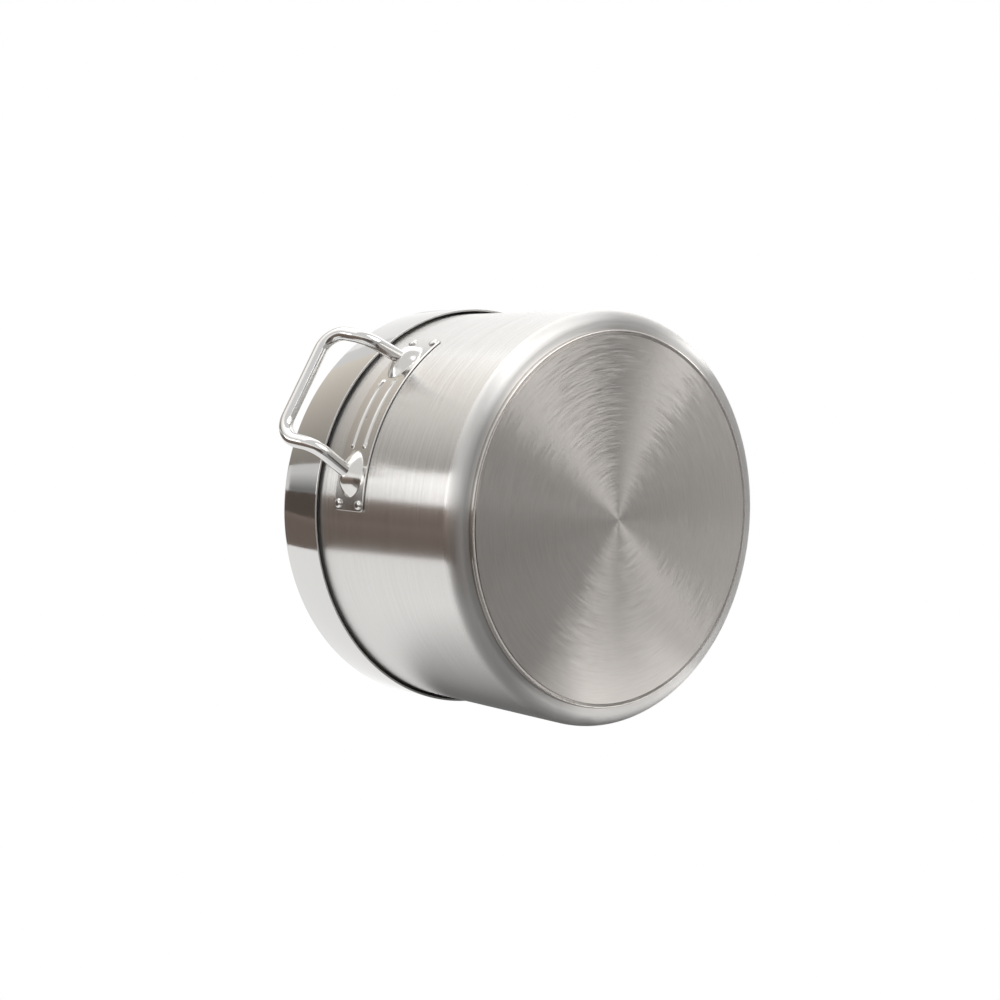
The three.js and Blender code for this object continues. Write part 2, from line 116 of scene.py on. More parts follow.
def round_scratches(tree, spacing, length, waver):
    place = add_node(tree, "ShaderNodeTexCoord", {}).outputs["Object"]
    level = add_node(tree, "ShaderNodeSeparateXYZ", {"Vector": place})
    flat = add_node(tree, "ShaderNodeCombineXYZ", {"X": level.outputs["X"], "Y": level.outputs["Y"]})
    radius = add_node(tree, "ShaderNodeVectorMath", {0: flat.outputs[0]}, operation="LENGTH")
    profile = add_node(
        tree, "ShaderNodeMath", {0: radius.outputs["Value"], 1: level.outputs["Z"]}, operation="SUBTRACT"
    )
    lines = add_node(
        tree,
        "ShaderNodeCombineXYZ",
        {"X": level.outputs["X"], "Y": level.outputs["Y"], "Z": profile.outputs[0]},
    )
    squeezed = add_node(
        tree,
        "ShaderNodeVectorMath",
        {0: lines.outputs[0], 1: (1 / length, 1 / length, 1 / spacing)},
        operation="MULTIPLY",
    )
    noise = add_node(
        tree,
        "ShaderNodeTexNoise",
        {"Vector": squeezed.outputs[0], "Scale": 1, "Detail": 4, "Roughness": 0.65},
    )
    crisp = add_node(
        tree,
        "ShaderNodeMapRange",
        {"Value": noise.outputs["Fac"], "From Min": NOISE_LOW, "From Max": NOISE_HIGH},
    )
    sway = add_node(
        tree, "ShaderNodeMapRange", {"Value": crisp.outputs[0], "To Min": -waver, "To Max": waver}
    )
    outward = add_node(
        tree, "ShaderNodeVectorMath", {0: flat.outputs[0], "Scale": sway.outputs[0]}, operation="SCALE"
    )
    onward = add_node(tree, "ShaderNodeVectorMath", {0: UP, 1: place}, operation="CROSS_PRODUCT")
    tangent = add_node(
        tree, "ShaderNodeVectorMath", {0: onward.outputs[0], 1: outward.outputs[0]}, operation="ADD"
    )
    return crisp.outputs[0], tangent.outputs[0]


print("scratches keep the noise between", NOISE_LOW, "and", NOISE_HIGH)

# %% [markdown]
# Scratches blur reflections across themselves, up and down the wall, and leave them crisp round it,
# which is why a brushed pot shows upright stripes. A bump could do the blurring, but only with very
# many samples. The shader's anisotropy does it at once, with its tangent turned across the scratches,
# and a slight bump is left for the lines themselves.

# %% Brushed steel
ACROSS = 0.25  # of a turn, from along the scratches to across them
MIX_DARK, MIX_PALE, MIX_COLOUR = 6, 7, 2  # a Mix node's colour sockets have no names of their own


def scratched_steel(name, pale, dark, roughness, spacing, length, depth, waver):
    material, tree, shader = new_material(name)
    lines, tangent = round_scratches(tree, spacing, length, waver)
    tone = add_node(
        tree,
        "ShaderNodeMix",
        {"Factor": lines, MIX_DARK: linear(dark), MIX_PALE: linear(pale)},
        data_type="RGBA",
    )
    rough = add_node(
        tree, "ShaderNodeMapRange", {"Value": lines, "To Min": roughness[0], "To Max": roughness[1]}
    )
    relief = add_node(tree, "ShaderNodeBump", {"Height": lines, "Distance": depth, "Strength": 1})
    shader.inputs["Metallic"].default_value = 1
    shader.inputs["Anisotropic"].default_value = 1
    shader.inputs["Anisotropic Rotation"].default_value = ACROSS
    tree.links.new(tone.outputs[MIX_COLOUR], shader.inputs["Base Color"])
    tree.links.new(rough.outputs[0], shader.inputs["Roughness"])
    tree.links.new(relief.outputs[0], shader.inputs["Normal"])
    tree.links.new(tangent, shader.inputs["Tangent"])
    return material


# Real scratches are finer than a pixel. These are drawn a millimetre apart, so that they show.
brushed_steel = scratched_steel(
    "stainless_belt_brushed",
    pale="#d4d3d1",
    dark="#ccc9c6",
    roughness=(0.2, 0.26),
    spacing=1 * MM,
    length=60 * MM,
    depth=0.0025 * MM,
    waver=0.06,
)
print("brushed steel:", len(brushed_steel.node_tree.nodes), "nodes")

# %% [markdown]
# The base is the same steel, but faced on a lathe: the tool leaves rings round the middle. Each
# ring is a tiny mirror that tilts in and out, so a lamp shows as a bright wedge that points at the
# middle, as on a record. The rings could be cut into the mesh, but the recipe above does it with
# other values: the marks are duller, deeper and shorter, and they sway more, which breaks the
# wedges up into fine arcs.

# %% Turned steel
# Real tool marks are finer than a pixel. These too are drawn coarser, so that they show.
turned_steel = scratched_steel(
    "stainless_lathe_turned",
    pale="#c8c3be",
    dark="#bcb7b2",
    roughness=(0.29, 0.35),
    spacing=1.1 * MM,
    length=16 * MM,
    depth=0.012 * MM,
    waver=0.2,
)
print("turned steel:", len(turned_steel.node_tree.nodes), "nodes")

# %% [markdown]
# The lid, the straps, the bars and the rivets are buffed to a shine. Buffed sheet is nearly a
# mirror, but its reflections wobble, because the sheet was drawn or pressed first. The wobble could
# be modelled in the mesh, but a broad, very shallow bump gives it more simply, and a fine noise in
# the roughness gives the haze of the buffing.

# %% Polished metal
HAZE_WIDTH = 6 * MM
WOBBLE_DEPTH = 0.02 * MM


def polished_metal(name, colour, roughness, wobble_width, wobble_depth=WOBBLE_DEPTH):
    material, tree, shader = new_material(name)
    place = add_node(tree, "ShaderNodeTexCoord", {}).outputs["Object"]
    haze = add_node(tree, "ShaderNodeTexNoise", {"Vector": place, "Scale": 1 / HAZE_WIDTH, "Detail": 4})
    rough = add_node(
        tree,
        "ShaderNodeMapRange",
        {
            "Value": haze.outputs[0],
            "From Min": NOISE_LOW,
            "From Max": NOISE_HIGH,
            "To Min": roughness[0],
            "To Max": roughness[1],
        },
    )
    wobble = add_node(
        tree, "ShaderNodeTexNoise", {"Vector": place, "Scale": 1 / wobble_width, "Detail": 1}
    )
    relief = add_node(
        tree, "ShaderNodeBump", {"Height": wobble.outputs[0], "Distance": wobble_depth, "Strength": 1}
    )
    shader.inputs["Metallic"].default_value = 1
    shader.inputs["Base Color"].default_value = linear(colour)
    tree.links.new(rough.outputs[0], shader.inputs["Roughness"])
    tree.links.new(relief.outputs[0], shader.inputs["Normal"])
    return material


# Drawn sheet, buffed: a mirror with a slow wobble.
mirror_steel = polished_metal("stainless_mirror_buffed", "#cecdcb", (0.05, 0.1), 25 * MM)
# Pressed sheet, buffed after the press: softer, with a closer wobble.
pressed_steel = polished_metal("stainless_pressed_buffed", "#d2d0cd", (0.14, 0.22), 9 * MM)
# Ground and polished bar: crisp streaks along its length.
bar_steel = polished_metal("stainless_bar_polished", "#d2d1cf", (0.1, 0.16), 14 * MM)
# Rolled aluminium, as it comes from the mill: pale and dull.
core_metal = polished_metal("aluminium_rolled", "#d6d7d9", (0.38, 0.5), 12 * MM, 0.03 * MM)
print("polished metal: four finishes")

# %% [markdown]
# Three places are finished apart. The belt doesn't reach into the pot's corner, which is dressed by
# hand with a pad and is duller. The ring at the edge of the base is burnished, and shines. The inside
# of the lid isn't buffed, and stays satin. A second material for each would leave a hard border, so
# the roughness runs to another value instead. What it runs along is a height, a distance from the
# origin, or how far a face looks away from the origin, which is below zero on the inside of the lid.

# %% Dressed places
CORNER_HEIGHTS = (11 * MM, 5 * MM)
CORNER_ROUGHER = 0.14
RING_RADII = (105.6 * MM, 105.8 * MM)
RING_SMOOTHER = -0.12
LOOKING_IN = (0, -1 * MM)
INSIDE_ROUGHER = 0.7


def dress(material, measure, reach, change, toward=None):
    tree = material.node_tree
    shader = tree.nodes["Principled BSDF"]
    where = add_node(tree, "ShaderNodeTexCoord", {}).outputs
    level = add_node(
        tree,
        "ShaderNodeVectorMath",
        {0: where["Object"], 1: toward or where["Normal"]},
        operation=measure,
    )
    more = add_node(
        tree,
        "ShaderNodeMapRange",
        {"Value": level.outputs["Value"], "From Min": reach[0], "From Max": reach[1], "To Max": change},
    )
    first = shader.inputs["Roughness"].links[0].from_socket
    total = add_node(tree, "ShaderNodeMath", {0: first, 1: more.outputs[0]}, operation="ADD")
    tree.links.new(total.outputs[0], shader.inputs["Roughness"])


dress(brushed_steel, "DOT_PRODUCT", CORNER_HEIGHTS, CORNER_ROUGHER, toward=UP)
dress(turned_steel, "LENGTH", RING_RADII, RING_SMOOTHER)
dress(mirror_steel, "DOT_PRODUCT", LOOKING_IN, INSIDE_ROUGHER)
print("dressed the pot's corner, the base's ring and the lid's inside")

# %% [markdown]
# Most of a pot is turned or drawn round: half of its outline, spun once about the axis, is the
# whole piece. The outline is drawn with sharp corners, and the rings that they leave are bevelled
# afterwards, as a maker would break an edge. The last helper makes the mesh an object, keeps edges
# that turn more than a set angle sharp, gives it its material, sets it on its body and hides the
# model's nodes that it stands for.

# %% Tools for turned pieces
WELD = 0.001 * MM
SHARP = math.radians(35)


def turned(outline, steps):
    bm = bmesh.new()
    line = [bm.verts.new((radius, 0, height)) for radius, height in outline]
    edges = [bm.edges.new(pair) for pair in zip(line, line[1:])]
    bmesh.ops.spin(
        bm, geom=line + edges, cent=(0, 0, 0), axis=UP, angle=math.tau, steps=steps, use_merge=True
    )
    bmesh.ops.remove_doubles(bm, verts=bm.verts, dist=WELD)
    bmesh.ops.recalc_face_normals(bm, faces=bm.faces)
    return bm


def round_off(bm, radius, height, amount, segments):
    def on_ring(vert):
        return abs(vert.co.xy.length - radius) < WELD and abs(vert.co.z - height) < WELD

    ring = [edge for edge in bm.edges if all(on_ring(vert) for vert in edge.verts)]
    bmesh.ops.bevel(
        bm, geom=ring, offset=amount, segments=segments, profile=0.5, affect="EDGES", material=-1
    )


def settle(name, bm, material, slot, body, *nodes):
    for face in bm.faces:
        face.smooth = True
    for edge in bm.edges:
        edge.smooth = len(edge.link_faces) == 2 and edge.calc_face_angle() < SHARP
    mesh = bpy.data.meshes.new(name)
    bm.to_mesh(mesh)
    bm.free()
    mesh.materials.append(material)
    piece = bpy.data.objects.new(name, mesh)
    scene.collection.objects.link(piece)
    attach(piece, body)
    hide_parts(*nodes)
    print(name, "has", len(mesh.polygons), "faces")


# %% [markdown]
# The pot itself is drawn from one steel sheet. Its bottom turns into the wall through a soft
# corner, and its rim is rolled outwards, so that it is stiff and smooth to pour over. A sheet could
# be given its thickness last, but the rim is thicker than the wall, so the outline holds both faces:
# it goes out along the bottom, up the wall, round the rim and back down inside.

# %% The pot shell
POT_RADIUS = 120 * MM
POT_HEIGHT = 160 * MM
POT_SHEET = 1 * MM
POT_CORNER = 8 * MM
RIM_PROUD = 1.5 * MM
RIM_DEPTH = 4.5 * MM
RIM_FOOT_ROUND = 1.3 * MM
RIM_TOP_ROUND = 1.4 * MM
MOUTH_ROUND = 0.9 * MM
BASE_THICKNESS = 2.5 * MM
ROUND_STEPS = 240

inside = POT_RADIUS - POT_SHEET
rim = POT_RADIUS + RIM_PROUD
floor_top = BASE_THICKNESS + POT_SHEET
shell = turned(
    [
        (0, BASE_THICKNESS),
        (POT_RADIUS, BASE_THICKNESS),
        (POT_RADIUS, POT_HEIGHT - RIM_DEPTH),
        (rim, POT_HEIGHT - RIM_DEPTH),
        (rim, POT_HEIGHT),
        (inside, POT_HEIGHT),
        (inside, floor_top),
        (0, floor_top),
    ],
    ROUND_STEPS,
)
round_off(shell, POT_RADIUS, BASE_THICKNESS, POT_CORNER, segments=12)
round_off(shell, inside, floor_top, POT_CORNER - POT_SHEET, segments=10)
round_off(shell, rim, POT_HEIGHT - RIM_DEPTH, RIM_FOOT_ROUND, segments=5)
round_off(shell, rim, POT_HEIGHT, RIM_TOP_ROUND, segments=5)
round_off(shell, inside, POT_HEIGHT, MOUTH_ROUND, segments=4)
settle("drawn_shell", shell, brushed_steel, "shell_steel", "pot", "pot_shell")

# %% [markdown]
# Under the pot a steel cap holds a disc of aluminium, which spreads the heat. The cap is pressed
# on hot and then faced on the lathe. Its edge is a small round, and inside that lies a narrow ring
# that slopes in to a fine groove. The slope mirrors another part of the room than the flat base, so
# it shines. It could be a bump in the material, but it is as easy to draw in the outline. Two points
# near its ends keep its shading flat, because smooth shading would blend it with its neighbours. The
# disc can't be seen, so its plain solid stays and only gets its metal.

# %% The base
BASE_RADIUS = 108.5 * MM
CAP_SHEET = 0.5 * MM
BASE_EDGE = 1 * MM
GROOVE_INSET = 2.8 * MM
GROOVE_STEP = 0.1 * MM
GROOVE_SLOPE = 1.7 * MM
GROOVE_DEPTH = 0.42 * MM
NEAR = 0.1  # share of the slope from an end to the point beside it
FAR = 1 - NEAR

groove = BASE_RADIUS - GROOVE_INSET
cap = turned(
    [
        (0, 0),
        (groove - GROOVE_STEP, 0),
        (groove, GROOVE_DEPTH),
        (groove + NEAR * GROOVE_SLOPE, FAR * GROOVE_DEPTH),
        (groove + FAR * GROOVE_SLOPE, NEAR * GROOVE_DEPTH),
        (groove + GROOVE_SLOPE, 0),
        (BASE_RADIUS, 0),
        (BASE_RADIUS, BASE_THICKNESS),
        (BASE_RADIUS - CAP_SHEET, BASE_THICKNESS),
        (BASE_RADIUS - CAP_SHEET, CAP_SHEET),
        (0, CAP_SHEET),
    ],
    ROUND_STEPS,
)
round_off(cap, BASE_RADIUS, 0, BASE_EDGE, segments=6)
settle("turned_base", cap, turned_steel, "base_steel", "pot", "base_cap")
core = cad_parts["base_core"]
core.data.materials.clear()
core.data.materials.append(core_metal)
print("base_core keeps its solid and gets", core_metal.name)

# %% [markdown]
# The lid is a cap: a deep skirt drops over the rim, and the top steps up to a raised panel with a
# flat seat for the handle. The skirt's edge turns in to a small lip, so that it isn't sharp. Here the
# outline is the outer face alone. The corners are rounded while it is still a single skin, and the
# sheet gets its thickness last, so inside and outside follow each other. Thickness is laid on behind
# the faces, which is why their normals come first.

# %% The lid shell
LID_RADIUS = 123 * MM
LID_SHEET = 0.8 * MM
LID_EDGE = 126 * MM
LID_LIP = 1.25 * MM
LID_LIP_RISE = 0.5 * MM
LID_LEDGE = 161.1 * MM
LID_STEP_FOOT = 106 * MM
LID_STEP_HEAD = 95 * MM
LID_PANEL = 168.1 * MM
LID_SEAT_RADIUS = 60 * MM
LID_SEAT = 170.6 * MM
LID_EDGE_ROUND = 0.6 * MM
LID_SHOULDER_ROUND = 3 * MM
LID_FOOT_ROUND = 4.5 * MM
LID_HEAD_ROUND = 5 * MM
LID_SEAT_ROUND = 8 * MM

cover = turned(
    [
        (0, LID_SEAT),
        (LID_SEAT_RADIUS, LID_SEAT),
        (LID_STEP_HEAD, LID_PANEL),
        (LID_STEP_FOOT, LID_LEDGE),
        (LID_RADIUS, LID_LEDGE),
        (LID_RADIUS, LID_EDGE),
        (LID_RADIUS - LID_LIP, LID_EDGE + LID_LIP_RISE),
    ],
    ROUND_STEPS,
)
round_off(cover, LID_RADIUS, LID_EDGE, LID_EDGE_ROUND, segments=4)
round_off(cover, LID_RADIUS, LID_LEDGE, LID_SHOULDER_ROUND, segments=8)
round_off(cover, LID_STEP_FOOT, LID_LEDGE, LID_FOOT_ROUND, segments=8)
round_off(cover, LID_STEP_HEAD, LID_PANEL, LID_HEAD_ROUND, segments=8)
round_off(cover, LID_SEAT_RADIUS, LID_SEAT, LID_SEAT_ROUND, segments=4)
bmesh.ops.solidify(cover, geom=cover.faces[:], thickness=LID_SHEET)
settle("lid_cover", cover, mirror_steel, "lid_steel", "lid", "lid_shell")

# %% [markdown]
# A handle hangs on a strap that is cut from sheet and then pressed. A flat plate has nothing to
# press, so the strap starts as one face with rounded corners, sliced into a fine grid. Its thickness
# comes last, when it has its shape, and its borders are broken as a press tool would leave them.

# %% Tools for plates
CELL = 0.5 * MM
CORNER_SEGMENTS = 8
BORDER = math.radians(70)
BORDER_SHARE = 3  # the borders are rounded over a third of the sheet
BORDER_SEGMENTS = 3


def slice_plate(bm, axis, length):
    normal = Vector((0, 0, 0))
    normal[axis] = 1
    for i in range(1, round(length / CELL)):
        cut = normal * (i * CELL - length / 2)
        geom = bm.verts[:] + bm.edges[:] + bm.faces[:]
        bmesh.ops.bisect_plane(bm, geom=geom, dist=WELD, plane_co=cut, plane_no=normal)


def plate(length, width, corner):
    bm = bmesh.new()
    bmesh.ops.create_grid(bm, x_segments=1, y_segments=1, size=0.5)
    bmesh.ops.scale(bm, vec=(length, width, 1), verts=bm.verts)
    bmesh.ops.bevel(
        bm,
        geom=bm.verts[:],
        offset=corner,
        segments=CORNER_SEGMENTS,
        profile=0.5,
        affect="VERTICES",
        material=-1,
    )
    slice_plate(bm, 0, length)
    slice_plate(bm, 1, width)
    return bm


def give_thickness(bm, sheet):
    bm.normal_update()
    bmesh.ops.solidify(bm, geom=bm.faces[:], thickness=sheet)
    border = [edge for edge in bm.edges if edge.calc_face_angle() > BORDER]
    bmesh.ops.bevel(
        bm,
        geom=border,
        offset=sheet / BORDER_SHARE,
        segments=BORDER_SEGMENTS,
        profile=0.5,
        affect="EDGES",
        material=-1,
    )


print("straps are sliced every", CELL / MM, "mm")

# %% [markdown]
# Pressing pushes the grid out of its plane. Two hollow bosses take the ends of the bar: each is an
# egg, steeper on its outer side. Two ribs between them stiffen the strap, and beside the ribs are the
# small pits that spot welds leave. A pit is a rib with no length that goes the other way. A few rounds
# of smoothing ease the feet of the pressed forms, as sheet can't fold sharply.

# %% Tools for pressing
PIT_RADIUS = 1 * MM
PIT_DEPTH = 0.25 * MM
WELD_PITS = [(-20 * MM, -7.5 * MM), (-4 * MM, 2 * MM), (19.5 * MM, 7.5 * MM), (21 * MM, -7.5 * MM)]
EASING_ROUNDS = 3


def press_boss(bm, side, boss):
    for vert in bm.verts:
        out = side * vert.co.x - boss["peak"]
        reach = math.hypot(out / boss["outer" if out > 0 else "inner"], vert.co.y / boss["half_width"])
        if reach < 1:
            vert.co.z += boss["rise"] * (1 - reach**2)


def press_rib(bm, along, across, half_length, half_width, rise):
    for vert in bm.verts:
        past = max(abs(vert.co.x - along) - half_length, 0)
        reach = math.hypot(past, vert.co.y - across) / half_width
        if reach < 1:
            vert.co.z += rise * (1 - reach**2)


def pressed_strap(length, width, corner, boss, rib):
    bm = plate(length, width, corner)
    for side in (-1, 1):
        press_boss(bm, side, boss)
        press_rib(bm, 0, side * rib["spacing"] / 2, rib["half_length"], rib["half_width"], rib["rise"])
    raised = [vert for vert in bm.verts if vert.co.z > WELD]
    for _ in range(EASING_ROUNDS):
        bmesh.ops.smooth_vert(bm, verts=raised, factor=0.5, use_axis_z=True)
    for along, across in WELD_PITS:
        press_rib(bm, along, across, 0, PIT_RADIUS, -PIT_DEPTH)
    return bm


print("a strap has", len(WELD_PITS), "weld pits")

# %% [markdown]
# The two side straps follow the wall. Bending is a change of coordinates: the distance along the
# plate becomes an angle round the pot, the height above the plate is added to the radius, and the
# distance across the plate becomes the height on the wall. Half a turn about the axis makes the
# second strap.

# %% The side straps
STRAP_SHEET = 1 * MM
SEAT_GAP = 0.3 * MM  # between a strap and the sheet that it sits on
STRAP_FACE = POT_RADIUS + SEAT_GAP + STRAP_SHEET
HANDLE_LEVEL = 95.5 * MM
SIDES = {"right": 0, "left": math.pi}


def bend_to_wall(bm, radius, level):
    for vert in bm.verts:
        angle = vert.co.x / radius
        reach = radius + vert.co.z
        vert.co = (reach * math.cos(angle), reach * math.sin(angle), level + vert.co.y)


def round_the_pot(angle):
    return Matrix.Rotation(angle, 4, "Z")


for side, angle in SIDES.items():
    strap = pressed_strap(
        length=118 * MM,
        width=27 * MM,
        corner=3 * MM,
        boss={"peak": 39 * MM, "inner": 15 * MM, "outer": 12 * MM, "half_width": 9.8 * MM, "rise": 7 * MM},
        rib={"half_length": 20.9 * MM, "spacing": 11 * MM, "half_width": 2 * MM, "rise": 1 * MM},
    )
    bend_to_wall(strap, STRAP_FACE, HANDLE_LEVEL)
    give_thickness(strap, STRAP_SHEET)
    bmesh.ops.transform(strap, matrix=round_the_pot(angle), verts=strap.verts)
    settle(f"{side}_strap", strap, pressed_steel, "strap_steel", "pot", f"{side}_handle_strap")

# %% [markdown]
# A handle is one round steel bar, bent cold round a former. A curve with a bevel could draw it, but
# its bends would only come near to arcs. So a ring of edges is carried along the way that the bar
# takes: extruded where it runs straight, and spun about the former's axis where it is bent. Inside
# the boss the end is upset to a wider head, which can't pull out.

# %% Tools for bent bar
BAR_SIDES = 40
BEND_STEPS = 16


def ring_of(geom):
    return [part for part in geom if isinstance(part, bmesh.types.BMEdge)]


def carry(bm, ring, move, widen=1):
    made = bmesh.ops.extrude_edge_only(bm, edges=ring)["geom"]
    verts = [part for part in made if isinstance(part, bmesh.types.BMVert)]
    middle = sum((vert.co for vert in verts), Vector()) / len(verts)
    bmesh.ops.scale(bm, vec=(widen, widen, widen), verts=verts, space=Matrix.Translation(-middle))
    bmesh.ops.translate(bm, vec=move, verts=verts)
    return [edge for edge in ring_of(made) if all(vert in verts for vert in edge.verts)]


def bent_bar(points, bends, radius, head):
    bm = bmesh.new()
    ahead = (points[1] - points[0]).normalized()
    place = Matrix.Translation(points[0]) @ ahead.to_track_quat("Z", "Y").to_matrix().to_4x4()
    bmesh.ops.create_circle(
        bm, segments=BAR_SIDES, radius=radius * head["widen"], matrix=place, cap_ends=True
    )
    ring = carry(bm, bm.edges[:], ahead * head["thickness"])
    ring = carry(bm, ring, Vector(), 1 / head["widen"])
    here = points[0] + ahead * head["thickness"]
    for corner, after, bend in zip(points[1:], points[2:], bends):
        out = (after - corner).normalized()
        sweep = ahead.angle(out)
        tangent = bend * math.tan(sweep / 2)
        ring = carry(bm, ring, corner - ahead * tangent - here)
        axis = ahead.cross(out).normalized()
        centre = corner - ahead * tangent + axis.cross(ahead) * bend
        spun = bmesh.ops.spin(
            bm, geom=ring, cent=centre, axis=axis, angle=sweep, steps=BEND_STEPS
        )
        ring = ring_of(spun["geom_last"])
        here = corner + out * tangent
        ahead = out
    ring = carry(bm, ring, points[-1] - ahead * head["thickness"] - here)
    ring = carry(bm, ring, Vector(), head["widen"])
    ring = carry(bm, ring, ahead * head["thickness"])
    bmesh.ops.edgeloop_fill(bm, edges=ring)
    bmesh.ops.recalc_face_normals(bm, faces=bm.faces)
    return bm


print("bar has", BAR_SIDES, "sides and", BEND_STEPS, "steps to a bend")

# %% [markdown]
# The side handle leaves its two bosses nearly square to the wall, turns up at the elbows and leans
# out to the grip, so that fingers clear the hot wall and the lid. One half of its way is given, and
# the other half is the same points mirrored, because a bar is bent alike at both ends.

# %% The side bars
BAR_RADIUS = 4 * MM
BAR_HEAD = {"widen": 1.3, "thickness": 2 * MM}
BAR_FOOT = Vector((115.8 * MM, 37.9 * MM, HANDLE_LEVEL))
BAR_ELBOW = Vector((145.5 * MM, 35 * MM, HANDLE_LEVEL))
BAR_GRIP = Vector((153.95 * MM, 35 * MM, HANDLE_LEVEL + 26 * MM))
ELBOW_BEND = 12 * MM
GRIP_BEND = 13 * MM

half = [BAR_FOOT, BAR_ELBOW, BAR_GRIP]
other_half = [Vector((point.x, -point.y, point.z)) for point in reversed(half)]
for side, angle in SIDES.items():
    bar = bent_bar(
        half + other_half, [ELBOW_BEND, GRIP_BEND, GRIP_BEND, ELBOW_BEND], BAR_RADIUS, BAR_HEAD
    )
    bmesh.ops.transform(bar, matrix=round_the_pot(angle), verts=bar.verts)
    settle(f"{side}_bar", bar, bar_steel, "rod_steel", "pot", f"{side}_handle_rod")

# %% [markdown]
# Rivets hold the straps: a domed head outside, a shank through both sheets and a flat tail inside.
# They are turned pieces too, made upright at the origin and then moved to their holes. The name
# of a rivet says where it sits: front or back, and low or high.

# %% Rivets
RIVET_HEAD = 2.8 * MM
RIVET_RISE = 1.5 * MM
RIVET_DOME = 1.4 * MM
RIVET_SHANK = 1.5 * MM
RIVET_TAIL = 0.8 * MM
RIVET_TAIL_ROUND = 0.4 * MM
RIVET_STEPS = 32
SIDE_RIVET_ALONG = 55 * MM
SIDE_RIVET_ACROSS = 9.5 * MM
CORNERS = {"front_low": (-1, -1), "front_high": (-1, 1), "back_low": (1, -1), "back_high": (1, 1)}


def rivet(grip, place):
    bm = turned(
        [
            (0, RIVET_RISE),
            (RIVET_HEAD, RIVET_RISE),
            (RIVET_HEAD, 0),
            (RIVET_SHANK, 0),
            (RIVET_SHANK, -grip),
            (RIVET_HEAD, -grip),
            (RIVET_HEAD, -grip - RIVET_TAIL),
            (0, -grip - RIVET_TAIL),
        ],
        RIVET_STEPS,
    )
    round_off(bm, RIVET_HEAD, RIVET_RISE, RIVET_DOME, segments=8)
    round_off(bm, RIVET_HEAD, -grip - RIVET_TAIL, RIVET_TAIL_ROUND, segments=3)
    bmesh.ops.transform(bm, matrix=place, verts=bm.verts)
    return bm


facing_out = Matrix.Rotation(math.pi / 2, 4, "Y")
for side, angle in SIDES.items():
    for corner, (back_or_front, up_or_down) in CORNERS.items():
        turn = angle + math.cos(angle) * back_or_front * SIDE_RIVET_ALONG / STRAP_FACE
        level = HANDLE_LEVEL + up_or_down * SIDE_RIVET_ACROSS
        place = round_the_pot(turn) @ Matrix.Translation((STRAP_FACE, 0, level)) @ facing_out
        made = rivet(STRAP_FACE - inside, place)
        settle(
            f"{side}_{corner}_rivet", made, bar_steel, "rivet_steel", "pot", f"{side}_rivet_{corner}"
        )

# %% [markdown]
# The lid's handle is the side handle laid flat: a shorter strap on the seat, a bar that stands up
# from its bosses, and four rivets. The tools above make it again at other sizes. It rides on the
# lid, so it lifts off with it.

# %% The lid handle
LID_STRAP_FACE = LID_SEAT + SEAT_GAP + STRAP_SHEET
LID_BOSS_ALONG = 30.9 * MM
LID_GRIP = LID_SEAT + 34 * MM
LID_RIVET_ALONG = 46 * MM
LID_RIVET_ACROSS = 8 * MM

strap = pressed_strap(
    length=100 * MM,
    width=24 * MM,
    corner=3 * MM,
    boss={"peak": 32 * MM, "inner": 12 * MM, "outer": 10 * MM, "half_width": 8.5 * MM, "rise": 6 * MM},
    rib={"half_length": 16.9 * MM, "spacing": 10 * MM, "half_width": 2 * MM, "rise": 1 * MM},
)
give_thickness(strap, STRAP_SHEET)
bmesh.ops.translate(strap, vec=(0, 0, LID_STRAP_FACE), verts=strap.verts)
settle("lid_strap", strap, pressed_steel, "strap_steel", "lid", "lid_handle_strap")

post = [Vector((LID_BOSS_ALONG, 0, height)) for height in (LID_SEAT + SEAT_GAP, LID_GRIP)]
other_post = [Vector((-point.x, 0, point.z)) for point in reversed(post)]
bar = bent_bar(post + other_post, [GRIP_BEND, GRIP_BEND], BAR_RADIUS, BAR_HEAD)
settle("lid_bar", bar, bar_steel, "rod_steel", "lid", "lid_handle_rod")

for corner, (back_or_front, up_or_down) in CORNERS.items():
    place = Matrix.Translation(
        (back_or_front * LID_RIVET_ALONG, up_or_down * LID_RIVET_ACROSS, LID_STRAP_FACE)
    )
    made = rivet(LID_STRAP_FACE - LID_SEAT + LID_SHEET, place)
    settle(f"lid_{corner}_rivet", made, bar_steel, "rivet_steel", "lid", f"lid_rivet_{corner}")

# %% [markdown]
# The stage is a plain pale floor under the pot and a white surround. The photograph's camera is
# below the floor, so the floor shows only from above: from behind it is clear, and metal doesn't
# mirror it, because the white surround lies below it too.

# %% The stage
FLOOR_SIZE = 6
FLOOR_DROP = 0.2 * MM
PAPER_ROUGHNESS = 0.9

ground = bmesh.new()
bmesh.ops.create_grid(ground, x_segments=1, y_segments=1, size=FLOOR_SIZE / 2)
bmesh.ops.translate(ground, vec=(0, 0, -FLOOR_DROP), verts=ground.verts)
floor_mesh = bpy.data.meshes.new("floor")
ground.to_mesh(floor_mesh)
ground.free()
floor = bpy.data.objects.new("floor", floor_mesh)
scene.collection.objects.link(floor)
material, tree, shader = new_material("pale_paper")
shader.inputs["Base Color"].default_value = linear("#f1f1ef")
shader.inputs["Roughness"].default_value = PAPER_ROUGHNESS
behind = add_node(tree, "ShaderNodeNewGeometry", {}).outputs["Backfacing"]
clear = add_node(tree, "ShaderNodeBsdfTransparent", {})
one_way = add_node(
    tree, "ShaderNodeMixShader", {0: behind, 1: shader.outputs[0], 2: clear.outputs[0]}
)
tree.links.new(one_way.outputs[0], tree.nodes["Material Output"].inputs["Surface"])
floor_mesh.materials.append(material)
floor.visible_glossy = False
floor.visible_shadow = False
floor.visible_diffuse = False
print("floor:", FLOOR_SIZE, "m across")

# %% [markdown]
# The surround is white to the camera and in reflections, and softer where it only lights the
# floor. One broad lamp above gives the floor its soft shadow. The metal doesn't mirror the lamp,
# because its reflections come from the cards below.

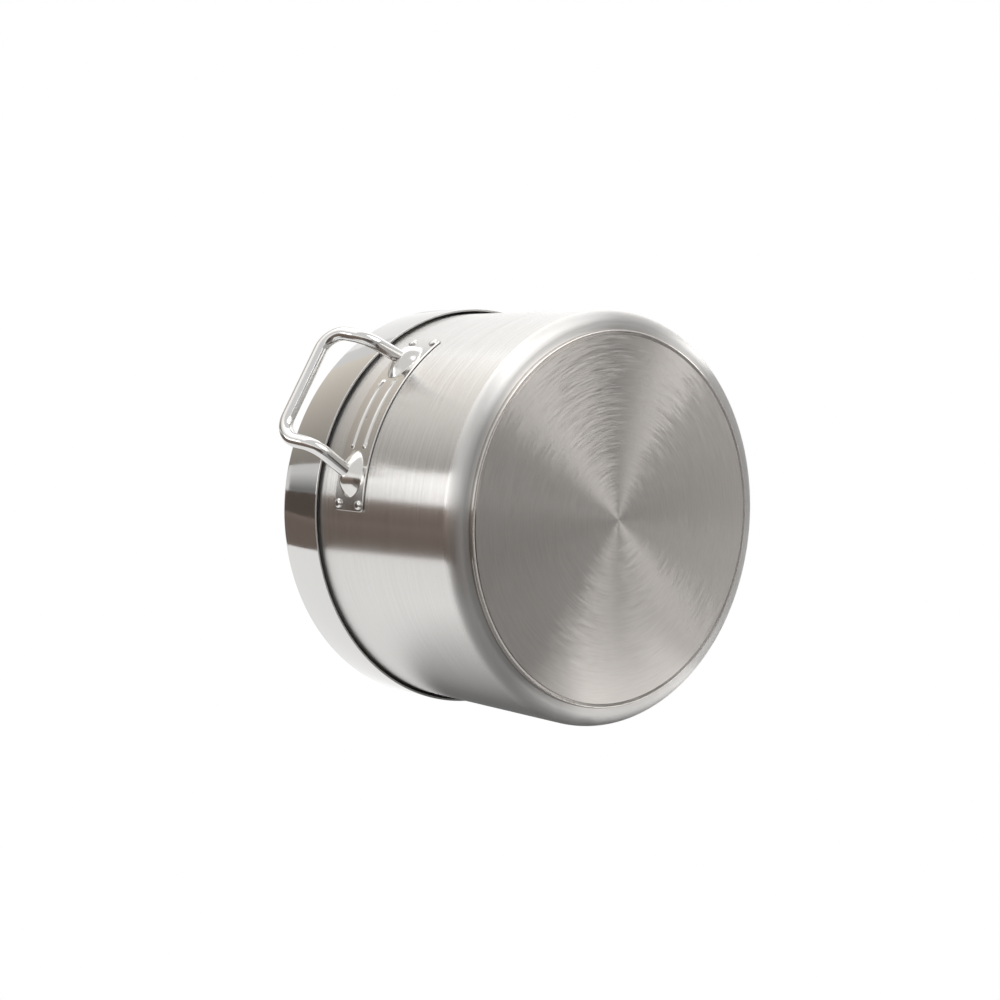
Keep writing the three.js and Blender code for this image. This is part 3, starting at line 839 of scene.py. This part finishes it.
# %% The surround and the lamp
WHITE = "#ffffff"
AMBIENT = 0.6
LAMP_PLACE = Vector((0.5, -0.7, 1.8))
LAMP_SIZE = 1.2
LAMP_POWER = 18

world = bpy.data.worlds.new("white_surround")
world.use_nodes = True
scene.world = world
tree = world.node_tree
ray = add_node(tree, "ShaderNodeLightPath", {})
seen = add_node(
    tree,
    "ShaderNodeMath",
    {0: ray.outputs["Is Camera Ray"], 1: ray.outputs["Is Glossy Ray"]},
    operation="MAXIMUM",
)
seen = add_node(
    tree,
    "ShaderNodeMath",
    {0: seen.outputs[0], 1: ray.outputs["Is Transmission Ray"]},
    operation="MAXIMUM",
)
strength = add_node(
    tree, "ShaderNodeMapRange", {"Value": seen.outputs[0], "To Min": AMBIENT, "To Max": 1}
)
tree.nodes["Background"].inputs["Color"].default_value = linear(WHITE)
tree.links.new(strength.outputs[0], tree.nodes["Background"].inputs["Strength"])

lamp = bpy.data.objects.new("lamp", bpy.data.lights.new("lamp", "AREA"))
lamp.data.size = LAMP_SIZE
lamp.data.energy = LAMP_POWER
lamp.location = LAMP_PLACE
lamp.rotation_euler = LAMP_PLACE.to_track_quat("Z", "Y").to_euler()
lamp.visible_glossy = False
scene.collection.objects.link(lamp)
scene.view_settings.view_transform = "Standard"
print("lamp:", LAMP_POWER, "W")

# %% [markdown]
# Bare metal has hardly a colour of its own: it shows what stands round it, so a photographer
# dresses steel with cards. Lamps could draw the same stripes, but they would light the floor as
# well, and only reflections see a card. A card glows evenly, or fades from one azimuth to another.

# %% Tools for cards
def stand_card(name, bm, strength, colour):
    material, tree, shader = new_material(name)
    shader.inputs["Base Color"].default_value = linear("#000000")
    shader.inputs["Specular IOR Level"].default_value = 0
    shader.inputs["Emission Color"].default_value = linear(colour)
    shader.inputs["Emission Strength"].default_value = strength
    mesh = bpy.data.meshes.new(name)
    bm.to_mesh(mesh)
    bm.free()
    mesh.materials.append(material)
    card = bpy.data.objects.new(name, mesh)
    scene.collection.objects.link(card)
    card.visible_camera = False
    card.visible_diffuse = False
    card.visible_shadow = False
    print(name, "has", len(mesh.polygons), "faces")
    return tree, shader


def fade(tree, shader, azimuths, strengths):
    place = add_node(tree, "ShaderNodeTexCoord", {}).outputs["Object"]
    turn = add_node(tree, "ShaderNodeTexGradient", {"Vector": place}, gradient_type="RADIAL")
    first, last = [(azimuth + 180) / 360 for azimuth in azimuths]
    strength = add_node(
        tree,
        "ShaderNodeMapRange",
        {
            "Value": turn.outputs["Fac"],
            "From Min": first,
            "From Max": last,
            "To Min": strengths[0],
            "To Max": strengths[1],
        },
    )
    tree.links.new(strength.outputs[0], shader.inputs["Emission Strength"])


# %% [markdown]
# Most cards are patches of a sphere round the pot, given by their azimuths and elevations in
# degrees. A patch is an arc, spun upright from one point and then round the axis. Flat cards would
# do, but on a sphere the degrees are those that the metal mirrors, so each card is easy to place.

# %% Cards on a sphere
CARD_DISTANCE = 3
CARD_STEP = math.radians(5)


def spin_steps(angle):
    return max(1, round(angle / CARD_STEP))


def sphere_card(name, azimuths, elevations, strength=1, distance=CARD_DISTANCE, colour=WHITE):
    bm = bmesh.new()
    low, high = [math.radians(elevation) for elevation in elevations]
    first, last = [math.radians(azimuth) for azimuth in azimuths]
    start = bm.verts.new((distance * math.cos(low), 0, distance * math.sin(low)))
    rise = high - low
    bmesh.ops.spin(
        bm, geom=[start], cent=(0, 0, 0), axis=(0, -1, 0), angle=rise, steps=spin_steps(rise)
    )
    bmesh.ops.rotate(bm, matrix=Matrix.Rotation(first, 3, "Z"), verts=bm.verts)
    arc = bm.verts[:] + bm.edges[:]
    sweep = last - first
    bmesh.ops.spin(
        bm, geom=arc, cent=(0, 0, 0), axis=UP, angle=sweep, steps=spin_steps(sweep)
    )
    bmesh.ops.remove_doubles(bm, verts=bm.verts, dist=WELD)
    return stand_card(name, bm, strength, colour)


print("cards stand", CARD_DISTANCE, "m away")

# %% [markdown]
# For the wall, a white tent goes round everything. A dark flag in front of it draws the dark band
# down the wall, and brightens a little towards the key softbox beside it, which draws the bright
# stripe. The key is in three parts, because the straps mirror only its top and the pot's corner
# only its foot. A small darker flag hangs before the first one, for the ends of the straps. Past
# the stripe a grey panel fades up into the white of the tent, with a fill light under it.

# %% Cards for the wall
TENT_DISTANCE = 3.3
SMALL_FLAG_DISTANCE = 2.9
FLAG_BROWN = "#d8c4b8"
PANEL_CREAM = "#fff7ec"
FLAG_SPAN = (-85, -25)
KEY_SPAN = (-25, -9)
PANEL_SPAN = (-9, 60)

sphere_card("white_tent", (-180, 180), (-90, 90), 0.9, TENT_DISTANCE)
fade(*sphere_card("dark_flag", FLAG_SPAN, (-30, 85), colour=FLAG_BROWN), (-42, -25), (0.29, 0.6))
sphere_card("dark_top", (-38, -25), (43, 62), 0.16, SMALL_FLAG_DISTANCE, FLAG_BROWN)
sphere_card("low_flag", FLAG_SPAN, (-70, -30), 0.18, colour=FLAG_BROWN)
sphere_card("key_softbox", KEY_SPAN, (18, 42), 2.75)
fade(*sphere_card("key_top", KEY_SPAN, (42, 60)), (-23, -14), (0.25, 0.8))
sphere_card("key_foot", KEY_SPAN, (-70, 18), 1.2)
fade(*sphere_card("grey_panel", PANEL_SPAN, (40, 85), colour=PANEL_CREAM), PANEL_SPAN, (0.32, 0.95))
fade(*sphere_card("fill_light", PANEL_SPAN, (0, 40)), PANEL_SPAN, (0.58, 2.7))
sphere_card("side_softbox", (60, 125), (0, 40), 1.9)
sphere_card("high_softbox", (75, 130), (40, 85), 1.15)

# %% [markdown]
# The turned base looks down, and gets its bright wedges from softboxes below it. Some stand close,
# so the near side of the base shows them wider than the far side.

# %% Cards for the base
SOFTBOX_DISTANCE = 0.7
STRIP_DISTANCE = 0.5
RIGHT_DISTANCE = 0.4

sphere_card("under_panel", (-180, 180), (-90, -70), 0.5)
sphere_card("dark_panel", (125, 185), (-70, -10), 0.14)
sphere_card("low_softbox", (40, 100), (-65, -20), 2.7, SOFTBOX_DISTANCE)
sphere_card("strip_softbox", (119, 128), (-30, 0), 3.8, STRIP_DISTANCE)
sphere_card("low_panel", (-170, -85), (-70, -30), 0.4)
sphere_card("right_card", (120, 180), (-40, -22), 1.3, RIGHT_DISTANCE)

# %% [markdown]
# Flat white cards stand close to the side that was down in the picture. Near the pot they are
# dark, as any surface is in the shade of what lies on it, and they fade up to both sides. A taller
# card above them, narrow at its top, is for the lid's skirt. Two more reach down past the base,
# which shows them along its lower edge.

# %% Cards beside the pot
BESIDE_AZIMUTH = -117.6
BESIDE_DISTANCE = 124 * MM
BESIDE_TOP = 1200 * MM
BESIDE_EDGE = 360 * MM
BESIDE_TAPER = 0.22
FRONT_FOOT = -100 * MM
FRONT_HEAD = -20 * MM
FRONT_EDGE = 170 * MM


def flat_card(name, along, heights, strength=1, taper=1):
    bm = bmesh.new()
    bmesh.ops.create_grid(bm, x_segments=1, y_segments=1, size=0.5)
    top = [vert for vert in bm.verts if vert.co.y > 0]
    bmesh.ops.scale(bm, vec=(taper, 1, 1), verts=top)
    bmesh.ops.rotate(bm, matrix=Matrix.Rotation(math.pi / 2, 3, "X"), verts=bm.verts)
    bmesh.ops.scale(bm, vec=(along[1] - along[0], 1, heights[1] - heights[0]), verts=bm.verts)
    middle = Vector((sum(along) / 2, -BESIDE_DISTANCE, sum(heights) / 2))
    bmesh.ops.translate(bm, vec=middle, verts=bm.verts)
    turn = Matrix.Rotation(math.radians(BESIDE_AZIMUTH + 90), 3, "Z")
    bmesh.ops.rotate(bm, matrix=turn, verts=bm.verts)
    return stand_card(name, bm, strength, WHITE)


fade(*flat_card("beside_right", (0, BESIDE_EDGE), (0, LID_EDGE)), (-97, -62), (0.2, 1.15))
fade(*flat_card("beside_left", (-BESIDE_EDGE, 0), (0, LID_EDGE)), (-135, -170), (0.2, 1))
flat_card("beside_top", (-BESIDE_EDGE, BESIDE_EDGE), (LID_EDGE, BESIDE_TOP), 1.1, BESIDE_TAPER)
flat_card("front_left", (-FRONT_EDGE, 0), (FRONT_FOOT, FRONT_HEAD), 2.4)
flat_card("front_right", (0, BESIDE_EDGE), (FRONT_FOOT, 0), 0.3)
